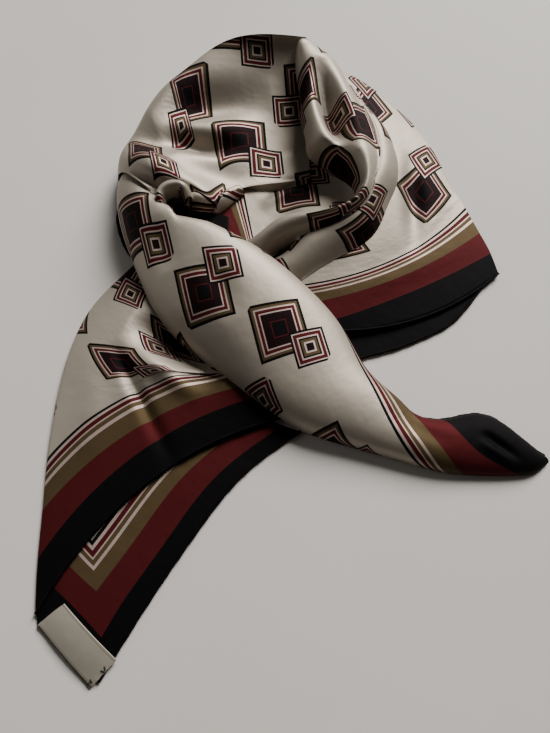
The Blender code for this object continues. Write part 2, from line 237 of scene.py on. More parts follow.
def printed_silk():
    """Silk twill, screen printed and calendered: a soft satin glow, broad highlights and a fine diagonal rib.
    The border's stripes follow the hems, and the ground has pairs of nested square tiles on a half-drop
    repeat."""
    material = bpy.data.materials.new("printed silk twill")
    material.use_nodes = True
    nodes = material.node_tree.nodes
    nodes.clear()
    flat = add(nodes, "ShaderNodeUVMap", {"uv_map": "square"}, {})
    place = add(nodes, "ShaderNodeMapping", {},
                {"Vector": flat.outputs["UV"], "Scale": (SQUARE, SQUARE, 0)}).outputs["Vector"]
    half = SQUARE / 2
    from_hem = add(nodes, "ShaderNodeMath", {"operation": "SUBTRACT"},
                   {0: half, 1: square_distance(nodes, place, (half, half, 0))})
    colour = bands(nodes, from_hem.outputs["Value"], BORDER[-1][0], BORDER)

    # The motifs stand on two square lattices, the second one half a repeat further both ways and with its
    # motifs mirrored. Each place belongs to the nearer motif. A Mix node's sockets share their names, so they
    # go by number: 4 and 5 are its vectors, with output 1, and 6 and 7 its colours, with output 2.
    low = (-REPEAT / 2, -REPEAT / 2, -1)
    high = (REPEAT / 2, REPEAT / 2, 1)
    centred = add(nodes, "ShaderNodeVectorMath", {"operation": "SUBTRACT"},
                  {0: place, 1: (half, half, 0)}).outputs["Vector"]
    first = add(nodes, "ShaderNodeVectorMath", {"operation": "WRAP"},
                {0: centred, 1: low, 2: high}).outputs["Vector"]
    further = add(nodes, "ShaderNodeVectorMath", {"operation": "SUBTRACT"}, {0: centred, 1: high})
    second = add(nodes, "ShaderNodeVectorMath", {"operation": "WRAP"},
                 {0: further.outputs["Vector"], 1: low, 2: high}).outputs["Vector"]
    in_second = add(nodes, "ShaderNodeMath", {"operation": "LESS_THAN"},
                    {0: square_distance(nodes, second), 1: square_distance(nodes, first)}).outputs["Value"]
    mirrored = add(nodes, "ShaderNodeVectorMath", {"operation": "MULTIPLY"}, {0: second, 1: (-1, 1, 1)})
    in_motif = add(nodes, "ShaderNodeMix", {"data_type": "VECTOR"},
                   {"Factor": in_second, 4: first, 5: mirrored.outputs["Vector"]}).outputs[1]
    from_motif = add(nodes, "ShaderNodeMix", {"data_type": "VECTOR"},
                     {"Factor": in_second, 4: first, 5: second}).outputs[1]
    on_ground = add(nodes, "ShaderNodeMath", {"operation": "LESS_THAN"},
                    {0: square_distance(nodes, centred, from_motif), 1: half - MOTIF_FREE})
    for centre, tile in ((LARGE_AT, LARGE_TILE), (SMALL_AT, SMALL_TILE)):
        away = square_distance(nodes, in_motif, centre)
        rings = bands(nodes, away, TILE_REACH, tile)
        within = add(nodes, "ShaderNodeMath", {"operation": "LESS_THAN"}, {0: away, 1: tile[-1][0]})
        mask = add(nodes, "ShaderNodeMath", {"operation": "MULTIPLY"},
                   {0: within.outputs["Value"], 1: on_ground.outputs["Value"]})
        colour = add(nodes, "ShaderNodeMix", {"data_type": "RGBA"},
                     {"Factor": mask.outputs["Value"], 6: colour, 7: rings}).outputs[2]

    # The dye lies a little unevenly: patches of some 40 mm, a few per cent lighter or darker.
    patches = add(nodes, "ShaderNodeTexNoise", {}, {"Vector": place, "Scale": 1 / 40, "Detail": 3.0})
    tone = add(nodes, "ShaderNodeMapRange", {},
               {"Value": patches.outputs["Fac"], "To Min": 0.93, "To Max": 1.05})
    colour = add(nodes, "ShaderNodeMix", {"data_type": "RGBA", "blend_type": "MULTIPLY"},
                 {"Factor": 1.0, 6: colour, 7: tone.outputs["Result"]}).outputs[2]

    # The twill's rib is 0.3 mm apart. It is drawn 1.2 mm apart here, or it wouldn't show. The cloth also
    # ruffles softly, by fractions of a millimetre every 14 mm or so.
    rib = add(nodes, "ShaderNodeTexWave", {"bands_direction": "DIAGONAL"},
              {"Vector": place, "Scale": WAVE_STEP / 1.2, "Distortion": 0.4, "Detail": 1.0})
    ruffle = add(nodes, "ShaderNodeTexNoise", {}, {"Vector": place, "Scale": 1 / 14, "Detail": 2.0})
    fine = add(nodes, "ShaderNodeBump", {},
               {"Height": rib.outputs["Fac"], "Strength": 0.04, "Distance": 0.0002})
    bump = add(nodes, "ShaderNodeBump", {}, {"Height": ruffle.outputs["Fac"], "Strength": 0.25,
                                             "Distance": 0.002, "Normal": fine.outputs["Normal"]})

    # The black and maroon inks lie thicker and are duller than the bare cream silk.
    ink = add(nodes, "ShaderNodeRGBToBW", {}, {"Color": colour})
    dull = add(nodes, "ShaderNodeMapRange", {}, {"Value": ink.outputs["Val"], "From Max": 0.35,
                                                 "To Min": 0.7, "To Max": 0.58})
    shader = add(nodes, "ShaderNodeBsdfPrincipled", {},
                 {"Base Color": colour, "Metallic": 0.6, "Roughness": dull.outputs["Result"],
                  "Specular IOR Level": 0.12, "Normal": bump.outputs["Normal"]})
    add(nodes, "ShaderNodeOutputMaterial", {}, {"Surface": shader.outputs["BSDF"]})
    return material


silk = printed_silk()


def hem_along(name, line, places):
    """A thin round hem along a line of points, whose places on the flat square are given."""
    forward = np.gradient(line, axis=0)
    forward /= np.linalg.norm(forward, axis=1)[:, None]
    sideways = np.stack([-forward[:, 1], forward[:, 0], 0 * forward[:, 0]], axis=1)
    sideways /= np.linalg.norm(sideways, axis=1)[:, None] + TINY
    upward = np.cross(forward, sideways)
    upward *= np.where(upward[:, 2:3] < 0, -1.0, 1.0)
    wave = np.ones(len(line))
    for share, turn in HEM_WAVES:
        wave += share * np.sin(np.arange(len(line)) * turn)
    turns = np.linspace(0, 2 * np.pi, HEM_SIDES + 1)
    rings = [line + (sideways * np.cos(a) + upward * np.sin(a)) * HEM * wave[:, None] for a in turns]
    points = np.stack(rings, axis=1)
    points[..., 2] = np.maximum(points[..., 2] + HEM * HEM_RISE, REST)
    mesh = mapped_mesh(name, points, np.repeat(places[:, None, :], HEM_SIDES + 1, axis=1))
    work = bmesh.new()
    work.from_mesh(mesh)
    bmesh.ops.remove_doubles(work, verts=work.verts, dist=SAME_PLACE)
    bmesh.ops.holes_fill(work, edges=work.edges)
    bmesh.ops.recalc_face_normals(work, faces=work.faces)
    work.to_mesh(mesh)
    work.free()
    mesh.shade_smooth()
    piece = bpy.data.objects.new(name, mesh)
    bpy.context.scene.collection.objects.link(piece)
    piece.data.materials.append(silk)
    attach(piece, "root")
    return piece


CORNER_UNDER = (
    (-62, -40, 1.4, -3, -67, 1.4, 1.5, -2, 5, 213, 163),
    (-92, -62, 1.4, -31, -86, 1.4, 1.8, -3, 5, 179, 160),
    (-134, -95, 1.4, -60, -115, 1.4, 2.2, 0, 5, 138, 154),
    (-159, -130, 1.4, -81, -144, 1.4, 1.8, -2, 5, 102, 149),
    (-175, -160, 1.4, -100, -172, 1.4, 2.1, -1, 5, 68, 148),
    (-183, -182, 1.4, -120, -204, 1.4, 1.6, 2, 5, 31, 159),
    (-180, -197, 1.4, -136, -231, 1.4, 1.5, 0, 5, 0, 180),
)
corner_under = stretch("silk_corner_under", CORNER_UNDER, 90, 40, anchor=1.0)
corner_under.data.materials.append(silk)
grid = laid["silk_corner_under"]
corner_hem = hem_along("hem_corner_under", grid[:, -1], np.linspace((0, 213), (0, 0), len(grid)))
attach(corner_under, "root")
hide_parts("corner_under")

# ----------------------------------------------------------------------------------------------------------
# Layer under the right panel: the same printed silk, folded back under the panel that it is cut in one with.
# What shows of it is the black border and its rolled, stitched hem.

PANEL_UNDER = (
    (150, 84, 1.4, 158, 63, 1.4, 1.5, 0, 300, 0, -90),
    (129, 65, 1.4, 149, 56, 1.4, 1.8, 0, 311, 0, -90),
    (115, 55, 1.4, 135, 39, 1.4, 2.0, 0, 333, 0, -90),
    (98, 46, 1.4, 117, 20, 1.4, 1.7, 0, 359, 0, -90),
    (77, 39, 1.4, 95, 8, 1.4, 2.1, 0, 384, 0, -90),
    (55, 33, 1.4, 71, -2, 1.4, 1.8, 0, 410, 0, -90),
    (38, 25, 1.4, 50, -8, 1.4, 1.6, 0, 432, 0, -90),
    (22, 14, 1.4, 30, -15, 1.4, 1.6, 0, 453, 0, -90),
)
panel_under = stretch("silk_panel_under", PANEL_UNDER, 80, 16, anchor=1.0)
panel_under.data.materials.append(silk)
grid = laid["silk_panel_under"]
panel_under_hem = hem_along("hem_panel_under", grid[:, -1], np.linspace((300, 0), (453, 0), len(grid)))
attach(panel_under, "root")
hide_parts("panel_under")

# ----------------------------------------------------------------------------------------------------------
# Back layer: the silk behind the neck, of which the hem shows as a black sliver at the heap's left side. The
# edge is printed black, rolled over and stitched like the others.

BACK_LAYER = (
    (-148, 155, 10, -138, 153, 10, 10, 0, 420, 2, 90),
    (-150, 134, 6, -140, 134, 6, 6, 0, 440, 2, 90),
    (-153, 114, 4, -142, 115, 4, 4, 0, 460, 2, 90),
    (-150, 98, 2, -138, 102, 2, 2, 0, 477, 2, 90),
    (-143, 83, 2, -131, 88, 2, 2, 0, 494, 2, 90),
    (-134, 70, 2, -125, 75, 2, 2, 0, 510, 2, 90),
)
back_layer = stretch("silk_back_layer", BACK_LAYER, 60, 10, anchor=0.0)
back_layer.data.materials.append(silk)
grid = laid["silk_back_layer"]
back_hem = hem_along("hem_back_layer", grid[:, 0], np.linspace((420, 0), (510, 0), len(grid)))
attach(back_layer, "root")
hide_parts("back_layer")

# ----------------------------------------------------------------------------------------------------------
# Left flap: the upper layer of the turned-back corner, of the same printed silk. It folds over at its left
# edge, and its rolled hem crosses the corner below it. A deep trough, a narrow press crease and two soft
# ridges run down it.

AIR = 0.25              # between layers that lie on each other
ABOVE = 500.0           # a height over the whole heap
SOFTENING = 14          # rounds of smoothing round what was lifted
CREASE_POINTS = 161     # places read along a crease
CREASE_FADE = 1.2       # over 1, a crease fades sooner towards its ends
TUCK = 2.6              # radius of the roll where a stretch turns under
TUCK_DEPTH = 1.2        # how deep that roll goes, in radii
TUCK_LEAN = 1.6         # over 1, the roll leans outwards on a steep slope
TUCK_TURNS = np.radians((35, 70, 105, 140, 175))
SLOPE_PART = 14         # the slope at an edge is read this part of the width in
SLOPE_LEAST = 3         # and at least this many points in
HEM_HIDDEN = 3          # points at the hem's left end that stay under the fold


def press(points, creases):
    """Soft ridges (height above 0) and troughs along bowed lines, fading out at their ends. A row is: x, y of
    the start, of the middle and of the end, the half width, and the height."""
    s = np.linspace(0.0, 1.0, CREASE_POINTS)[:, None]
    for x0, y0, xm, ym, x1, y1, half, height in creases:
        start, middle, end = np.array([(x0, y0), (xm, ym), (x1, y1)], float)
        pull = 2 * middle - (start + end) / 2
        line = (1 - s) ** 2 * start + 2 * s * (1 - s) * pull + s ** 2 * end
        away = np.linalg.norm(points[:, :, None, 0:2] - line, axis=3)
        nearest = away.argmin(axis=2)
        fade = np.sin(np.pi * s[nearest, 0]) ** CREASE_FADE
        points[..., 2] += height * fade * np.exp(-(away.min(axis=2) / half) ** 2)


def tree_of(grids):
    """One search tree for several stretches."""
    points = []
    faces = []
    for grid in grids:
        faces += faces_of(*grid.shape[:2], first=len(points))
        points += [Vector(p) for p in grid.reshape(-1, 3)]
    return BVHTree.FromPolygons(points, faces)


def top_of(tree, x, y):
    """The top of the layers here, or 0, the surface that the scarf lies on."""
    hit = tree.ray_cast(Vector((x, y, ABOVE)), Vector((0, 0, -1)))[0]
    return 0.0 if hit is None else hit.z


def lie_on(points, tree):
    """Lifts a stretch clear of the layers that it lies on, and softens the edges of what was lifted."""
    raised = np.zeros(points.shape[:2])
    for i in range(points.shape[0]):
        for j in range(points.shape[1]):
            x, y, z = points[i, j]
            raised[i, j] = max(0.0, top_of(tree, x, y) + CLOTH + AIR - z)
    for _ in range(SOFTENING):
        padded = np.pad(raised, 1, mode="edge")
        near = (padded[:-2, 1:-1] + padded[2:, 1:-1] + padded[1:-1, :-2] + padded[1:-1, 2:]) / 4
        raised = np.maximum(raised, near)
    points[..., 2] += raised


def turn_under(points, places, side, tree):
    """Adds columns past a round edge, where the cloth rolls under itself and back in. Where the cloth inside
    the edge falls away steeply, it goes down on the outside of that slope."""
    near = max(SLOPE_LEAST, points.shape[1] // SLOPE_PART)
    outer, inner = (0, near) if side == "a" else (-1, -1 - near)
    edge = points[:, outer]
    cut = places[:, outer]
    inward = points[:, inner] - edge
    onward = cut - places[:, inner]
    reach = np.hypot(inward[:, 0], inward[:, 1]) + TINY
    steep = np.clip(-inward[:, 2] / reach, 0.0, 1.0)
    inward /= reach[:, None]
    inward[:, 2] = 0.0
    inward *= 1 - TUCK_LEAN * steep[:, None]
    onward /= np.linalg.norm(onward, axis=1)[:, None] + TINY
    more_points = []
    more_places = []
    for turn in TUCK_TURNS:
        back = TUCK * (1 - np.cos(turn))
        new = edge + inward * back
        new[:, 2] -= TUCK_DEPTH * TUCK * np.sin(turn) * (1 - steep) + TUCK_DEPTH * back * steep + AIR * turn
        for p in new:
            p[2] = max(p[2], top_of(tree, p[0], p[1]) + CLOTH + AIR / 2)
        more_points.append(new)
        more_places.append(cut + onward * TUCK * turn)
    if side == "a":
        more_points.reverse()
        more_places.reverse()
        return (np.concatenate([np.stack(more_points, axis=1), points], axis=1),
                np.concatenate([np.stack(more_places, axis=1), places], axis=1))
    return (np.concatenate([points, np.stack(more_points, axis=1)], axis=1),
            np.concatenate([places, np.stack(more_places, axis=1)], axis=1))


FLAP_LEFT = (
    (-135, 72, 2, -122, 62, 4, 6, -1, 200, 215, 0),
    (-152, 52, 2, -101, 22, 7, 12, 0, 190, 190, 0),
    (-169, 28, 2, -77, -9, 8, 16, 3, 175, 160, 0),
    (-179, 0, 2, -60, -21, 8, 17, 2, 158, 130, 0),
    (-185, -37, 2, -56, -24, 8, 15, 5, 135, 95, 0),
    (-187, -88, 2, -57, -20, 8, 12, 14, 110, 58, 0),
    (-186, -120, 2, -44, -32, 8, 9, 15, 92, 38, 0),
    (-185, -156, 2, -32, -41, 7, 7, 19, 75, 18.5, 0),
    (-182, -191, 2, -12, -56, 5, 4.5, 25, 57, 0, 0),
)
FLAP_LEFT_CREASES = (
    (-134, 16, -98, -3, -58, -30, 12, -15.0),
    (-130, -10, -102, -26, -74, -46, 8, 5.0),
    (-145, 0, -123, -40, -92, -98, 4.5, -5.0),
    (-170, 10, -160, -40, -160, -100, 14, 2.0),
)
flap_left = stretch("silk_flap_left", FLAP_LEFT, 150, 90, rounds="a", creases=FLAP_LEFT_CREASES,
                    below=("silk_corner_under", "silk_back_layer"), anchor=0.0)
flap_left.data.materials.append(silk)
bottom = laid["silk_flap_left"][-1]
flap_hem = hem_along("hem_flap_left", bottom[HEM_HIDDEN:],
                     np.linspace((57, 0), (272, 0), len(bottom))[HEM_HIDDEN:])
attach(flap_left, "root")
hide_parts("flap_left")

# ----------------------------------------------------------------------------------------------------------
# Right panel: printed silk that slopes from the heap to the right. It folds under at its right edge and ends
# in the border and a rolled hem. A shallow trough and a soft ridge run down it.

PANEL_RIGHT = (
    (16, 272, 3, 36, 272, 2, 5, -1, 299, 538, 51),
    (32, 232, 18, 62, 249, 6, 15, 4, 310, 570, 36),
    (41, 197, 24, 86, 225, 5, 17, -1, 319, 603, 27),
    (49, 155, 24, 114, 183, 4, 16, 5, 322, 653, 28),
    (48, 118, 22, 128, 145, 3, 15, -3, 316, 693, 27),
    (17, 75, 18, 134, 133, 3, 13, -15, 315, 708, 9),
    (-3, 46, 14, 138, 123, 3, 11, -15, 313, 722, 0),
    (9, 33, 11, 147, 99, 3, 9, -9, 309, 744, 0),
    (22, 19, 8, 154, 80, 3, 6, -4, 305, 761.5, 0),
    (26, 11, 6, 158, 62, 3, 3.6, -13, 300, 780, 0),
)
PANEL_RIGHT_CREASES = (
    (92, 176, 93, 130, 88, 72, 9, -7.0),
    (63, 186, 92, 152, 114, 113, 12, 3.0),
)
panel_right = stretch("silk_panel_right", PANEL_RIGHT, 150, 80, rounds="b", creases=PANEL_RIGHT_CREASES,
                      below=("silk_panel_under",), anchor=1.0)
panel_right.data.materials.append(silk)
bottom = laid["silk_panel_right"][-1]
panel_hem = hem_along("hem_panel_right", bottom, np.linspace((160, SQUARE), (300, SQUARE), len(bottom)))
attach(panel_right, "root")
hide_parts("panel_right")

# ----------------------------------------------------------------------------------------------------------
# Inner bowl: the printed silk seen down inside the heap, between the crown's lip and the tail. It has dropped
# into a hollow, puckered by a small ridge and a trough, and shows a turned piece of the border.

INNER_BOWL = (
    (-108, 120, 14, -94, 92, 10, 13, 0, -12, 320, 90),
    (-88, 118, 16, -70, 84, 14, 16, 2, 8, 320, 90),
    (-72, 124, 16, -49, 74, 16, 16, 2, 23.5, 320, 90),
    (-57, 146, 14, -39, 70, 16, 15, 0, 51, 320, 90),
    (-33, 159, 12, -24, 70, 16, 14, 1, 75, 315, 90),
    (-10, 166, 12, -2, 96, 22, 14, 1, 100, 302, 90),
    (14, 172, 14, 21, 101, 23, 15, 1, 126, 298, 90),
    (33, 170, 22, 36, 104, 26, 19, 2, 148, 296, 90),
    (44, 155, 28, 43, 107, 29, 25, 0, 162, 297, 90),
)
INNER_BOWL_CREASES = (
    (-33, 112, -13, 130, 14, 133, 6, 5.0),
    (-31, 122, -14, 137, 12, 140, 6, -4.0),
)
inner_bowl = stretch("silk_inner_bowl", INNER_BOWL, 110, 60, creases=INNER_BOWL_CREASES,
                     below=("silk_panel_right",))
inner_bowl.data.materials.append(silk)
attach(inner_bowl, "root")
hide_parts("inner_bowl")

# ----------------------------------------------------------------------------------------------------------
# Outer loop: the second of the two nested loops, a soft roll of the printed silk with air inside. It runs
# round the right of the heap and is held by nothing but its own folds.

LOOP_OUTER = (
    (38, 232, 14, 52, 221, 9, 28, 0, 300, 330, 90),
    (44, 203, 14, 62, 197, 9, 35, 0, 330, 330, 90),
    (47, 181, 18, 74, 179, 9, 40, 0, 352, 330, 90),
    (49, 153, 18, 80, 156, 9, 41, 0, 377, 330, 90),
    (46, 132, 18, 78, 135, 9, 41, 0, 398, 330, 90),
    (39, 115, 18, 69, 114, 9, 40, 0, 417.5, 330, 90),
    (29, 103, 18, 59, 92, 9, 38, 0, 437, 330, 90),
    (13, 95, 17, 39, 75, 8, 34, 0, 459, 330, 90),
    (-4, 87, 15, 15, 61, 8, 31, 0, 482, 330, 90),
    (-14, 73, 14, -1, 50, 7, 26, 0, 500, 330, 90),
    (-30, 66, 12, -16, 42, 6, 22, 0, 518, 330, 90),
)
loop_outer = stretch("silk_loop_outer", LOOP_OUTER, 130, 44, rounds="ab",
                     below=("silk_panel_right", "silk_inner_bowl"))
loop_outer.data.materials.append(silk)
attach(loop_outer, "root")
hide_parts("loop_outer")

# ----------------------------------------------------------------------------------------------------------
# Tail: the neck and the long roll of printed silk that crosses the heap and runs out to a corner of the
# square at the lower right. Its own weight flattens it, and the hem at its tip is slack and scalloped.

TAIL = (
    (-143, 153, 10, -101, 135, 14, 34, 0, 249, 190, -76),
    (-151, 132, 8, -106, 107, 12, 40, 0, 263.5, 197.5, -67),
    (-148, 101, 4, -75, 90, 14, 46, 0, 284, 183.5, -83),
    (-132, 60, 3, -32, 71, 12, 46, 0, 312.5, 160.5, -91),
    (-107, 14, 3, 6, 40, 8, 40, 0, 354, 137, -91),
    (-74, -15, 3, 30, 11, 5, 34, 0, 387, 116, -88),
    (-40, -42, 3, 45, -17, 3, 29, 0, 420, 99.5, -87),
    (-4, -66, 2, 60, -34, 2, 25, 0, 450, 82, -94),
    (28, -77, 1, 72, -45, 1, 21, 0, 470, 65.5, -101),
    (66, -88, 0.4, 83, -55, 0.4, 18, 0, 493, 48.5, -121),
    (95, -96, 0.4, 102, -58, 0.4, 16, 0, 513, 31.5, -135),
    (123, -99, 0.4, 124, -54, 0.4, 14, 0, 530.5, 13, -139),
    (152, -99, 0.4, 146, -61, 0.4, 12, 0, 552, 7, -148),
    (168, -96, 0.4, 164, -77, 0.4, 8, 0, 570, 6, -160),
    (176, -90, 0.4, 174, -85, 0.4, 4, 0, 578, 5, -165),
)
TAIL_CREASES = (
    (-112, 90, -107, 67, -101, 46, 7, -4.0),
    (-74, 56, -63, 36, -46, 10, 9, -3.0),
    (-84, 20, -61, -14, -32, -38, 10, -2.0),
    (-104, 103, -92, 104, -68, 97, 10, -34.0),    # the pit of the dark eye
    (126, -69, 136, -77, 155, -91, 3, -3.0),
    (122, -75, 133, -83, 150, -94, 3, 1.5),
    (60, -50, 78, -66, 108, -80, 6, -2.0),
)
TIP_ROWS = 58           # sections at the tip along which the hem shows
TIP_INSIDE = -6         # the point of a section that shows which way its edge faces
TIP_RISE = 0.4          # the hem's height above the cloth's edge
SCALLOP = 0.9           # how far the slack hem waves out
SCALLOP_TURN = 0.33     # its turn from section to section
tail = stretch("silk_tail", TAIL, 220, 70, rounds="ab", creases=TAIL_CREASES,
               below=("silk_corner_under", "silk_panel_under", "silk_back_layer", "silk_flap_left",
                      "silk_panel_right", "silk_inner_bowl"), fullness=0.38)
tail.data.materials.append(silk)
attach(tail, "root")
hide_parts("tail", "hidden_folds_tail")
grid = laid["silk_tail"][-TIP_ROWS:]
outward = grid[:, -1] - grid[:, TIP_INSIDE]
outward /= np.linalg.norm(outward, axis=1)[:, None]
scallop = SCALLOP * np.abs(np.sin(np.arange(TIP_ROWS) * SCALLOP_TURN))[:, None]
tip = grid[:, -1] + (0, 0, TIP_RISE) + outward * scallop
tip_hem = hem_along("hem_tail", tip, np.linspace((520, 0), (580, 0), TIP_ROWS))

# ----------------------------------------------------------------------------------------------------------
# Eye floor: the dark hollow where the neck twists. The silk lies deep between the folds there. Its place is
# on the printed black border, so that the hollow's deep shade is painted black.

# The places lie 8 mm in from a hem, in the black border: painted shade for the pit.
EYE_FLOOR = (
    (-106, 113, 20, -104, 101, 20, 20, 0, 560, 8, 90),
    (-97, 116, 20, -97, 91, 20, 20, 0, 569, 8, 90),
    (-85, 115, 20, -85, 90, 20, 20, 0, 581, 8, 90),
    (-72, 109, 20, -71, 90, 20, 20, 0, 594, 8, 90),
    (-59, 103, 20, -59, 90, 20, 20, 0, 607, 8, 90),
)
eye_floor = stretch("silk_eye_floor", EYE_FLOOR, 50, 24, below=("silk_tail", "silk_inner_bowl"))
eye_floor.data.materials.append(silk)
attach(eye_floor, "root")

# ----------------------------------------------------------------------------------------------------------
# Eye roll: a short fold of the printed silk right of the dark eye. The twist of the neck doubles it over, and
# it is tucked under the crown.

EYE_ROLL = (
    (-91, 116, 30, -91, 106, 20, 33, 0, 150, 330, 90),
    (-83, 116, 32, -83, 104, 20, 34, 0, 158, 330, 90),
    (-76, 114, 30, -75, 105, 20, 32, 0, 166, 330, 90),
    (-69, 112, 24, -68, 108, 20, 28, 0, 174, 330, 90),
)
eye_roll = stretch("silk_eye_roll", EYE_ROLL, 40, 30, rounds="ab", below=("silk_inner_bowl",))
eye_roll.data.materials.append(silk)
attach(eye_roll, "root")

# ----------------------------------------------------------------------------------------------------------
# Twisted hem: the printed border of the neck's layer, between the eye and the crown's lip. The twist of the
# neck rolls it up thin and tight.

TWIST = (
    (-76, 111, 22, -69, 106, 17, 26, 0, 66, 300, 55),
    (-67, 119, 23, -61, 113, 18, 28, 0, 60, 308, 45),
    (-60, 126, 21, -55, 120, 17, 26, 0, 53, 316, 55),
    (-52, 133, 18, -47, 127, 16, 22, 0, 46, 326, 45),
)
twist = stretch("silk_twist", TWIST, 60, 24, rounds="ab", below=("silk_inner_bowl",))
twist.data.materials.append(silk)
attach(twist, "root")

# ----------------------------------------------------------------------------------------------------------
# Back of the crown: the printed silk where it falls from the crown's crest to the surface, in one plain slope
# with nothing holding it. It is seen only from behind.

CROWN_BACK = (
    (-136, 200, 2, -122, 198, 20, 14, 0, 300, 130, 60),
    (-128, 216, 2, -113, 208, 26, 18, 0, 320, 130, 60),
    (-107, 238, 2, -100, 220, 30, 20, 0, 355, 130, 70),
    (-68, 258, 2, -63, 244, 40, 26, 0, 395, 130, 80),
    (-28, 266, 2, -28, 252, 42, 28, 0, 432, 130, 90),
    (6, 266, 2, 3, 252, 41, 28, 0, 465, 130, 90),
    (30, 262, 2, 18, 240, 32, 20, 0, 492, 130, 100),
)
crown_back = stretch("silk_crown_back", CROWN_BACK, 90, 40)
crown_back.data.materials.append(silk)
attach(crown_back, "root")

# ----------------------------------------------------------------------------------------------------------
# Crown: the puffed top of the heap, a loose billow of the printed silk over its hidden folds. Its front lip
# rolls over the hollow, and soft valleys run in from the lip.

CROWN = (
    (-153, 143, 8, -117, 112, 30, 42, 0, 300, 260, -30),
    (-153, 161, 8, -105, 118, 33, 47, 0, 314, 260, -38),
    (-147, 175, 8, -90, 118, 29, 44, 0, 331, 260, -48),
    (-139, 188, 12, -74, 110, 26, 41, 0, 347, 260, -56),
    (-123, 209, 28, -66, 113, 24, 40, 0, 356, 260, -64),
    (-101, 224, 43, -57, 126, 22, 38, 0, 374, 260, -74),
    (-64, 248, 53, -40, 134, 20, 32, 0, 391, 260, -84),
    (-28, 253, 56, -17, 138, 17, 21, 0, 412, 260, -90),
    (4, 253, 53, 8, 143, 16, 18, 0, 435, 260, -94),
)
CROWN_CREASES = (
    (-122, 184, -76, 201, -24, 214, 16, -14.0),
    (-146, 152, -124, 192, -84, 216, 15, 8.0),
    (-116, 173, -82, 165, -44, 169, 9, -13.0),
    (-104, 143, -72, 138, -26, 148, 14, -7.0),
    (-143, 171, -104, 162, -60, 166, 11, -6.0),
    (-142, 150, -117, 139, -93, 129, 10, 3.0),
    (-139, 136, -119, 121, -95, 115, 3.5, -7.0),
)
crown = stretch("silk_crown", CROWN, 170, 120, rounds="ab", creases=CROWN_CREASES,
                below=("silk_tail", "silk_eye_roll", "silk_twist", "silk_inner_bowl", "silk_back_layer"),
                anchor=1.0)
crown.data.materials.append(silk)
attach(crown, "root")
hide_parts("crown", "hidden_folds_heap")

# ----------------------------------------------------------------------------------------------------------
# Eye curl: a small tight roll of the printed silk round the dark eye, wound up where the neck twists out from
# the crown.

EYE_CURL = (
    (-103, 98, 30, -107, 97, 30, 37, 0, 229, 330, 0),
    (-105, 101, 34, -112, 100, 34, 45, 0, 229, 337, 0),
    (-106, 106, 36, -113, 109, 36, 49, 0, 229, 345, 0),
    (-102, 109, 38, -107, 117, 38, 50, 0, 229, 355, 0),
    (-96, 110, 38, -97, 119, 38, 50, 0, 229, 364, 0),
    (-93, 108, 36, -88, 115, 36, 48, 0, 229, 373, 0),
    (-92, 105, 34, -86, 109, 34, 41, 0, 229, 380, 0),
)
eye_curl = stretch("silk_eye_curl", EYE_CURL, 70, 34, rounds="ab", below=("silk_eye_floor",))
eye_curl.data.materials.append(silk)
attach(eye_curl, "root")
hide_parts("eye_curl")

# ----------------------------------------------------------------------------------------------------------
# Inner loop: the first of the two nested loops, a soft roll of the printed silk. It rises from the crown,
# turns round the hollow and goes under the tail.

LOOP_INNER = (
    (-2, 256, 34, 10, 264, 8, 34, 0, 324, 520, 90),
    (-4, 248, 46, 18, 260, 14, 48, 0, 338, 520, 90),
    (-5, 236, 40, 26, 256, 16, 51, 0, 353, 520, 90),
    (-2, 219, 30, 32, 251, 16, 52, 0, 370.5, 520, 90),
    (-1, 190, 30, 43, 225, 18, 54, 0, 399, 520, 90),
    (3, 167, 30, 54, 193, 20, 55, 0, 428.5, 520, 90),
    (8, 153, 26, 61, 160, 20, 56, 0, 453.5, 520, 90),
    (25, 145, 20, 61, 142, 20, 55, 0, 471.5, 520, 90),
    (40, 128, 20, 57, 126, 20, 52, 0, 491, 520, 90),
    (38, 109, 20, 50, 106, 20, 49, 0, 510, 520, 90),
    (24, 101, 20, 33, 92, 20, 46, 0, 529, 520, 90),
    (1, 99, 20, 8, 83, 18, 43, 0, 554, 520, 90),
    (-20, 97, 18, -12, 78, 14, 38, 0, 576.5, 520, 90),
    (-36, 86, 16, -25, 72, 10, 31, 0, 591, 520, 90),
    (-50, 80, 12, -34, 62, 8, 24, 0, 606, 520, 90),
)
LOOP_INNER_CREASES = (
    (15, 236, 23, 187, 35, 140, 9, -26.0),
)
loop_inner = stretch("silk_loop_inner", LOOP_INNER, 180, 50, rounds="ab", creases=LOOP_INNER_CREASES,
                     below=("silk_panel_right", "silk_inner_bowl", "silk_loop_outer"))
loop_inner.data.materials.append(silk)
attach(loop_inner, "root")
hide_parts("loop_inner")

# ----------------------------------------------------------------------------------------------------------
# Label: a polyester satin ribbon, cut to length, folded double and sewn to the corner of the square with
# black thread. It is blank.

LABEL = (
    (-163, -184, 3.4, -125, -218, 3.0, 5.4, 0, 25, 0, 0),
    (-168.5, -188, 3.8, -130.5, -223.5, 3.2, 5.6, 0, 25, 9, 0),
    (-174, -192.5, 3.4, -135.5, -229, 2.6, 5.0, 0, 25, 18, 0),
    (-179.5, -197, 2.2, -140.5, -234, 1.8, 3.6, 0, 25, 27, 0),
)
LABEL_UNDER = (
    (-164, -185, 2.2, -126, -219, 2.0, 2.6, 0, 25, 0, 0),
    (-169.5, -189, 2.2, -131.5, -224.5, 2.0, 2.6, 0, 25, 9, 0),
    (-175, -193.5, 1.8, -136.5, -230, 1.6, 2.2, 0, 25, 18, 0),
    (-180.5, -198.3, 1.1, -141.5, -235.3, 1.0, 1.3, 0, 25, 28.5, 0),
)
RIBBON_EDGE = "#8C8578"      # the ribbon's colours: woven edge, the line beside it, and the face
RIBBON_LINE = "#7A7367"
RIBBON_FACE = "#968F82"
